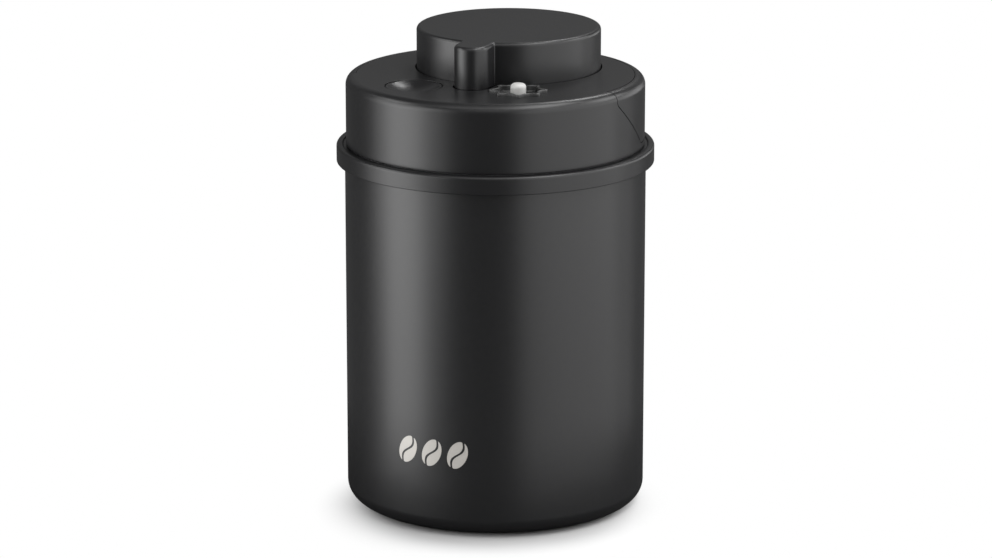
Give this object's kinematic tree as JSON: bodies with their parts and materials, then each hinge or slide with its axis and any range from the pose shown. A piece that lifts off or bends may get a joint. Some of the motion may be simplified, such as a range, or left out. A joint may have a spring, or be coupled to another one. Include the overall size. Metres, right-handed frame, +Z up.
{
  "type": "vacuum coffee canister",
  "caption": "Cylindrical steel coffee canister with a plug-in lid that holds a press pump, a dished release button and a vacuum pin.",
  "frame": {"origin": "middle of the base pad's underside, where the canister stands", "axes": "+Z up along the canister's axis; -Y is the front, where the knob's tab points; +X is to the right seen from the front"},
  "size_m": [0.124, 0.124, 0.187],
  "materials": {
    "painted_steel": "satin black powder coat",
    "black_plastic": "satin moulded ABS",
    "grey_plastic": "moulded polypropylene",
    "black_silicone": "matte",
    "clear_silicone": "translucent, matte",
    "spring_steel": "drawn wire",
    "white_plastic": "satin moulded acetal"
  },
  "bodies": {
    "canister": {"canister_body": "painted_steel", "collar_ring": "black_plastic", "base_pad": "black_silicone"},
    "lid": {"lid_cover": "black_plastic", "lid_rear_cover": "black_plastic", "lid_chassis": "grey_plastic", "lid_gasket": "black_silicone", "cover_screws": "spring_steel", "pump_barrel": "grey_plastic", "barrel_cap": "grey_plastic", "barrel_seal": "black_silicone", "barrel_screws": "spring_steel", "intake_valve": "clear_silicone", "inlet_screen": "spring_steel", "screen_ring": "grey_plastic", "pump_spring": "spring_steel", "release_spring": "spring_steel", "indicator_boot": "black_silicone", "indicator_diaphragm": "clear_silicone", "indicator_clamp": "grey_plastic", "indicator_spring": "spring_steel"},
    "pump": {"pump_knob": "black_plastic", "pump_piston": "grey_plastic", "piston_seal": "black_silicone", "exhaust_valve": "clear_silicone", "knob_screws": "spring_steel"},
    "release": {"release_button": "black_plastic", "release_stopper": "clear_silicone"},
    "indicator": {"indicator_pin": "white_plastic"}
  },
  "joints": [
    {"name": "lid_lift", "type": "slide", "parent": "canister", "child": "lid", "axis": [0, 0, 1], "range_m": [0, 0.15]},
    {"name": "pump_press", "type": "slide", "parent": "lid", "child": "pump", "axis": [0, 0, -1], "range_m": [0, 0.013], "stiffness_N_per_m": 500, "springref_m": -0.012, "deforming": ["pump_spring"]},
    {"name": "button_press", "type": "slide", "parent": "lid", "child": "release", "axis": [0, 0, -1], "range_m": [0, 0.002], "stiffness_N_per_m": 800, "springref_m": -0.003, "deforming": ["release_spring"]},
    {"name": "pin_drop", "type": "slide", "parent": "lid", "child": "indicator", "axis": [0, 0, -1], "range_m": [0, 0.003], "stiffness_N_per_m": 120, "springref_m": -0.004, "deforming": ["indicator_spring", "indicator_diaphragm"]}
  ]
}
